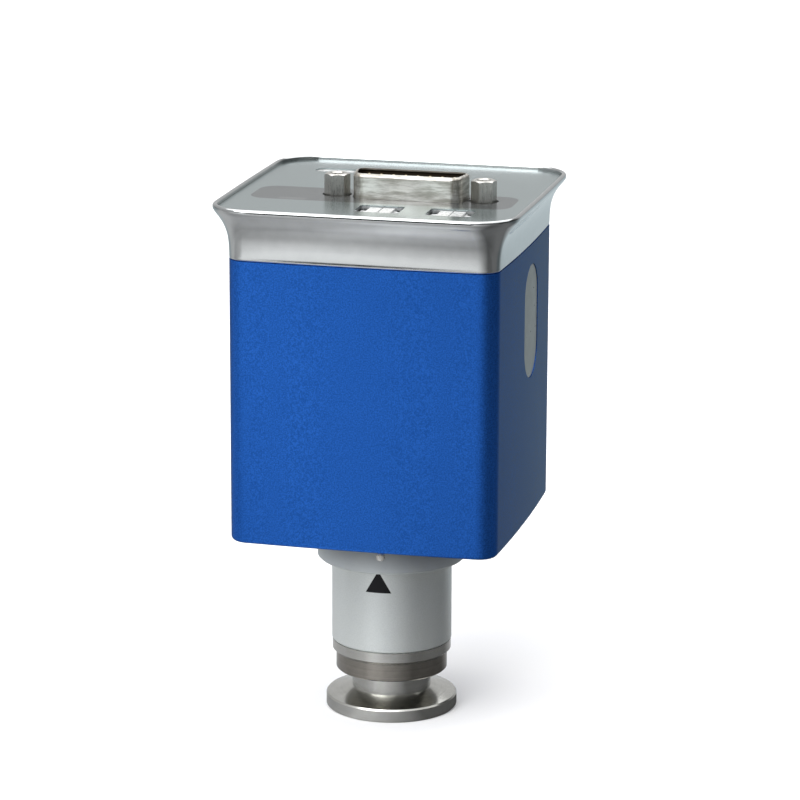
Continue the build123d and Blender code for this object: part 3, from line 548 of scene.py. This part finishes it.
def jackscrew(name, x, degrees):
    """A hexagonal screw lock with a turned-off top and a tapped hole."""
    turn = math.radians(degrees)
    loops = []

    def ring(radius, z):
        loops.append(circle(x, DSUB_Y, radius, z, turn))

    ring(SHANK_TIP_R, JACK_TAIL)
    ring(SHANK_R, JACK_TAIL + SHANK_TIP)
    ring(SHANK_R, Z_LEDGE)
    loops.append(hexagon(x, DSUB_Y, JACK_FLAT, Z_LEDGE, turn))
    # The turned top leaves the corners lower than the flats
    top = []
    for px, py, z in hexagon(x, DSUB_Y, JACK_FLAT, JACK_TOP, turn):
        past_flat = math.hypot(px - x, py - DSUB_Y) - JACK_FLAT
        top.append((px, py, z - (JACK_CHAMFER * CHAMFER_DROP + past_flat * CORNER_DROP)))
    loops.append(top)
    ring(JACK_FLAT - JACK_CHAMFER, JACK_TOP)
    ring(MOUTH_R, JACK_TOP)
    z = JACK_TOP - MOUTH_DEPTH
    ring(THREAD_IN, z)
    while z > JACK_TOP - THREAD_DEPTH:
        ring(THREAD_OUT, z - THREAD_PITCH / 2)
        ring(THREAD_IN, z - THREAD_PITCH)
        z -= THREAD_PITCH
    ring(DRILL_R, JACK_TOP - DRILL_DEPTH)
    bm = bmesh.new()
    join_faces(bm, loops, closed=False)
    add_piece(name + "_lock", bm, "nickel", name, 25)


# The locking screw: its dome, then radius and distance from the gauge's axis from
# its tip to the dome, and its height and its place round the axis
DOME_R, DOME_RISE, DOME_FROM = 1.02, 0.32, 16.98
SCREW_PROFILE = (
    (0.7, 13.8), (0.88, 13.95), (0.88, 16.9), (DOME_R, 16.9), (DOME_R, DOME_FROM))
SCREW_Z, SCREW_DEGREES = 39.9, 5.0


def lock_screw():
    """The collar's locking screw: a shank in its hole and a low dome outside."""
    profile = list(SCREW_PROFILE)
    for degrees in range(15, 90, 15):
        a = math.radians(degrees)
        profile.append((DOME_R * math.cos(a), DOME_FROM + DOME_RISE * math.sin(a)))
    bm = bmesh.new()
    join_faces(bm, [circle(0, 0, r, d) for r, d in profile], closed=False)
    around = Matrix.Rotation(math.radians(SCREW_DEGREES), 4, "Z")
    outwards = Matrix.Rotation(math.radians(90.0), 4, "X")
    place = Matrix.Translation((0, 0, SCREW_Z)) @ (around @ outwards)
    bmesh.ops.transform(bm, matrix=place, verts=bm.verts)
    add_piece("locking_screw_dome", bm, "nickel", "locking_screw")


bezel()
lock_screw()
jackscrew("jackscrew_left", -11.15, 46)
jackscrew("jackscrew_right", 22.15, 52)


# Floor, light and camera

AMBIENT = 0.06
# Soft patches of light: direction, angle of full light, angle of none, strength
LOBES = (
    ((0, 0, 1), 15, 65, 0.55),
    ((-1, -0.25, 0.45), 20, 55, 0.45),
    ((-0.25, 1, 0.3), 15, 60, 0.55),
    ((-0.25, -0.8, 0.75), 12, 36, 1.95),
    ((0.75, -0.75, 0.45), 8, 35, 0.15),
)
# Half the floor's width, and how far the card lies below it
FLOOR_REACH = 6.0
CARD_DROP = 0.0005
# One radian in degrees
RADIAN = 57.2958


def flat(name, z, paint):
    """A level square sheet, centred under the gauge."""
    mesh = bpy.data.meshes.new(name)
    s = FLOOR_REACH
    mesh.from_pydata([(-s, -s, z), (s, -s, z), (s, s, z), (-s, s, z)], [], [(0, 1, 2, 3)])
    obj = bpy.data.objects.new(name, mesh)
    bpy.context.scene.collection.objects.link(obj)
    mesh.materials.append(paint.mat)
    return obj


def floor():
    """The white floor that the camera sees."""
    white, whiter = (0.92, 0.92, 0.92), (0.94, 0.94, 0.94)
    p = grained(
        "studio_floor", white, whiter, (0.9, 1.0), (1, 1, 1), 0.02,
        scale=0.02, distance=0.1, Specular_IOR_Level=0.0)
    obj = flat("studio_floor", 0.0, p)
    obj.visible_diffuse = obj.visible_glossy = obj.visible_shadow = False


def floor_card():
    """What the gauge sees of the floor, painted with light and shade: painted shade near it,
    to the right and far ahead, and a painted highlight ahead.
    """
    p = Paint("floor_card", Roughness=1.0, Specular_IOR_Level=0.0)
    x, y, _ = p.axes()
    away = p.length(x, y)
    # Painted shade where the gauge stands in the light, ahead of it
    ring = p.times(p.span(away, 36.0, 90.0), p.fall(away, 150.0, 330.0))
    ring = p.times(ring, p.fall(y, -75.0, 5.0))
    # Painted dark beyond the far end of the lit floor, which bends away to both sides
    side = p.math("DIVIDE", p.plus(x, 135.0), 110.0)
    edge = p.times(p.times(side, side), 140.0)
    far = p.fall(p.plus(y, edge), -500.0, -462.0)
    # Degrees from the front towards the right
    turn = p.times(p.bearing(x, y), RADIAN)
    # Painted shade to the right, to the left, behind and in a band ahead
    right = p.times(p.span(turn, 5.0, 50.0), p.fall(turn, 126.0, 162.0))
    left = p.times(p.fall(turn, -65.0, -30.0), p.span(turn, -160.0, -120.0))
    back = p.span(y, 60.0, 200.0)
    middle = p.times(p.span(y, -430.0, -330.0), p.fall(y, -160.0, -90.0))
    # A painted highlight: the brightest streak runs out to the front, a little left of it
    peak = p.times(p.span(turn, -36.0, -19.0), p.fall(turn, -17.0, 4.0))
    light = p.plus(p.times(peak, 0.4), 0.8)
    dimmed = (
        (ring, 0.42), (far, 0.97), (right, 0.76), (left, 0.3), (back, 0.25), (middle, 0.27))
    for mask, depth in dimmed:
        light = p.times(p.minus(1.0, p.times(mask, depth)), light)
    grey = p.mix(back, (0.66, 0.66, 0.66), (0.58, 0.66, 0.69))
    p.colour(p.mix(light, (0.0, 0.0, 0.0), grey))
    obj = flat("floor_card", -CARD_DROP, p)
    obj.visible_camera = obj.visible_shadow = False


def area(name, place, aim, size, power):
    """A rectangular lamp at a place in metres, aimed at another, hidden from the camera."""
    light = bpy.data.lights.new(name, "AREA")
    light.shape = "RECTANGLE"
    light.size, light.size_y = size
    light.energy = power
    obj = bpy.data.objects.new(name, light)
    bpy.context.scene.collection.objects.link(obj)
    obj.location = place
    obj.rotation_mode = "QUATERNION"
    obj.rotation_quaternion = (Vector(aim) - Vector(place)).to_track_quat("-Z", "Y")
    obj.visible_camera = False


def world():
    """A studio as the gauge sees it: soft lobes of light round a dim room."""
    w = bpy.data.worlds.new("studio")
    w.use_nodes = True
    tree = w.node_tree
    back = tree.nodes["Background"]
    back.inputs["Color"].default_value = (1, 1, 1, 1)
    coords = tree.nodes.new("ShaderNodeTexCoord")

    def lobe(direction, inner, outer, strength):
        dot = tree.nodes.new("ShaderNodeVectorMath")
        dot.operation = "DOT_PRODUCT"
        tree.links.new(coords.outputs["Generated"], dot.inputs[0])
        dot.inputs[1].default_value = Vector(direction).normalized()
        node = tree.nodes.new("ShaderNodeMapRange")
        node.interpolation_type = "SMOOTHSTEP"
        node.inputs["From Min"].default_value = math.cos(math.radians(outer))
        node.inputs["From Max"].default_value = math.cos(math.radians(inner))
        node.inputs["To Max"].default_value = strength
        tree.links.new(dot.outputs["Value"], node.inputs["Value"])
        return node.outputs[0]

    total = lobe(*LOBES[0])
    for light in LOBES[1:]:
        value = lobe(*light)
        node = tree.nodes.new("ShaderNodeMath")
        tree.links.new(total, node.inputs[0])
        tree.links.new(value, node.inputs[1])
        total = node.outputs[0]
    node = tree.nodes.new("ShaderNodeMath")
    node.inputs[1].default_value = AMBIENT
    tree.links.new(total, node.inputs[0])
    tree.links.new(node.outputs[0], back.inputs["Strength"])
    bpy.context.scene.world = w


# The camera fitted to the photo: azimuth, elevation and roll in degrees, the
# point on the axis that it circles, its shift from there and its distance
CAMERA_ANGLES = (13.698, 14.187, 0.212)
CAMERA_AIM = (0, 0, 70)
CAMERA_RIGHT, CAMERA_UP, CAMERA_AWAY = 1.71, 1.902, 829.3
SENSOR, LENS = 36.0, 164.75


def camera():
    data = bpy.data.cameras.new("camera")
    data.sensor_width = SENSOR
    data.lens = LENS
    data.clip_end = 20.0
    obj = bpy.data.objects.new("camera", data)
    bpy.context.scene.collection.objects.link(obj)
    az, el, roll = (math.radians(a) for a in CAMERA_ANGLES)
    back = Vector((math.sin(az) * math.cos(el), -math.cos(az) * math.cos(el), math.sin(el)))
    right0 = Vector((math.cos(az), math.sin(az), 0))
    up0 = back.cross(right0)
    right = right0 * math.cos(roll) + up0 * math.sin(roll)
    up = up0 * math.cos(roll) - right0 * math.sin(roll)
    eye = Vector(CAMERA_AIM) + right * CAMERA_RIGHT + up * CAMERA_UP + back * CAMERA_AWAY
    turn = Matrix((right, up, back)).transposed().to_4x4()
    obj.matrix_world = Matrix.Translation(eye * MM) @ turn
    bpy.context.scene.camera = obj


floor()
floor_card()
world()
area("key", (-0.5, -0.85, 1.1), (0, 0, 0.06), (0.9, 0.9), 7)
area("top", (0.1, 0.25, 1.3), (0, 0.1, 0.0), (2.2, 2.2), 22)
area("front", (-0.13, -0.46, 0.3), (0, 0, 0.115), (0.26, 0.16), 0.3)
camera()
view = bpy.context.scene.view_settings
view.view_transform = "Standard"
view.look = "None"
